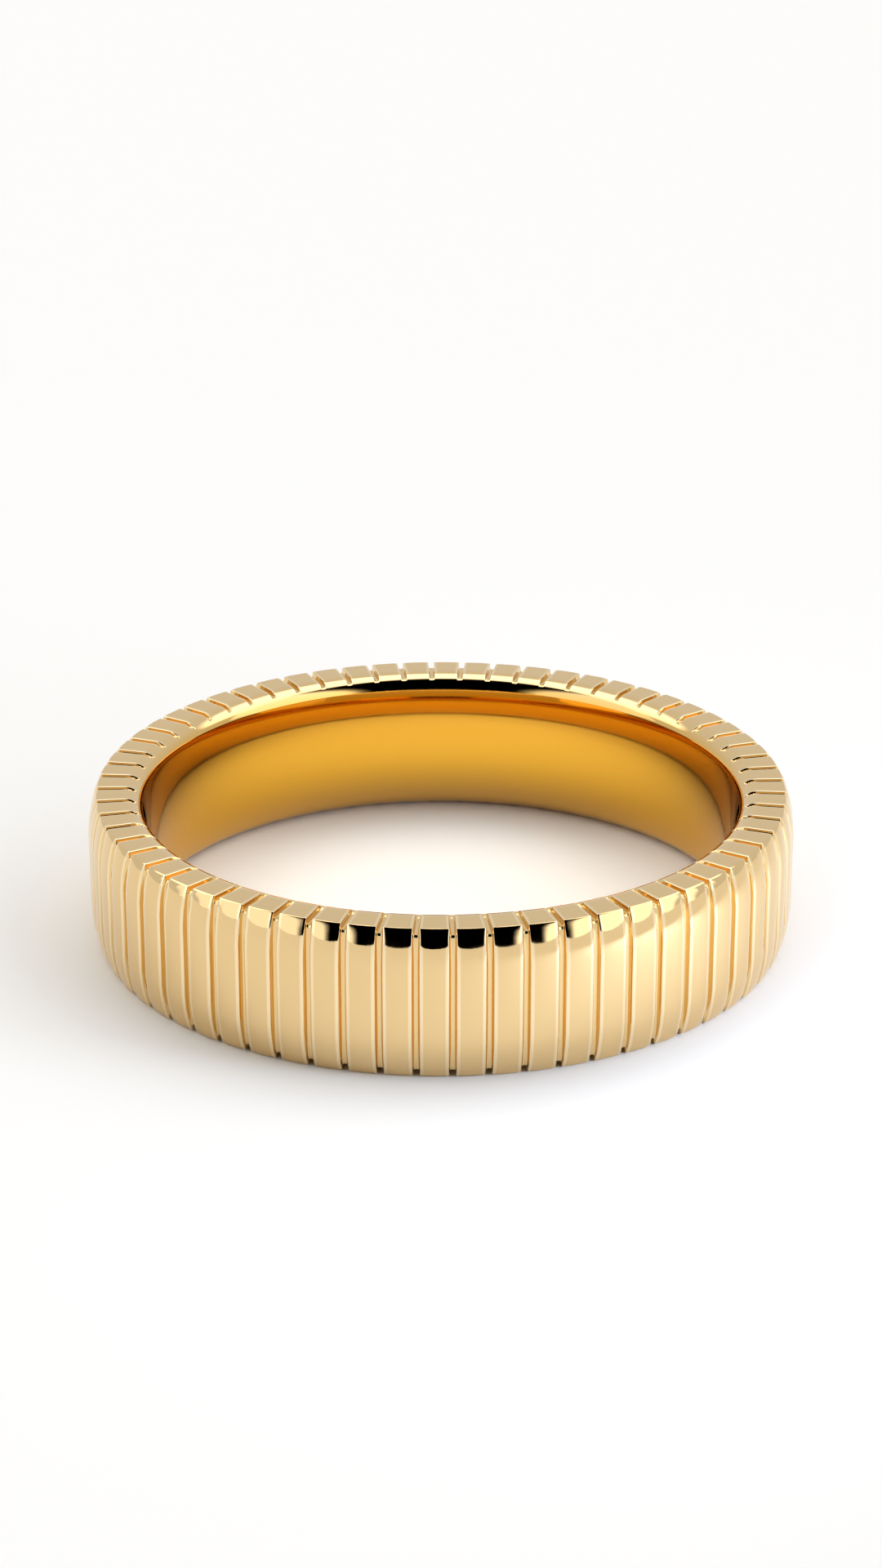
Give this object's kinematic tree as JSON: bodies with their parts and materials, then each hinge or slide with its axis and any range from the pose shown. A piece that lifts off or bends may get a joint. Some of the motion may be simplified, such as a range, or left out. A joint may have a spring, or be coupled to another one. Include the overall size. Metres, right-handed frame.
{
  "type": "ring",
  "caption": "Polished yellow gold band ring, fluted all round with flat upright ribs whose grooves carry on across both ends of the band.",
  "frame": {"origin": "middle of the underside, on the ring's axis and on the surface that the ring lies on", "axes": "+Z along the ring's axis, up as the ring lies on its side; a rib is centred on +X and on +Y"},
  "size_m": [0.021, 0.021, 0.0045],
  "materials": {
    "polished_gold": "yellow gold, mirror polished"
  },
  "bodies": {
    "root": {"fluted_band": "polished_gold"}
  },
  "joints": []
}
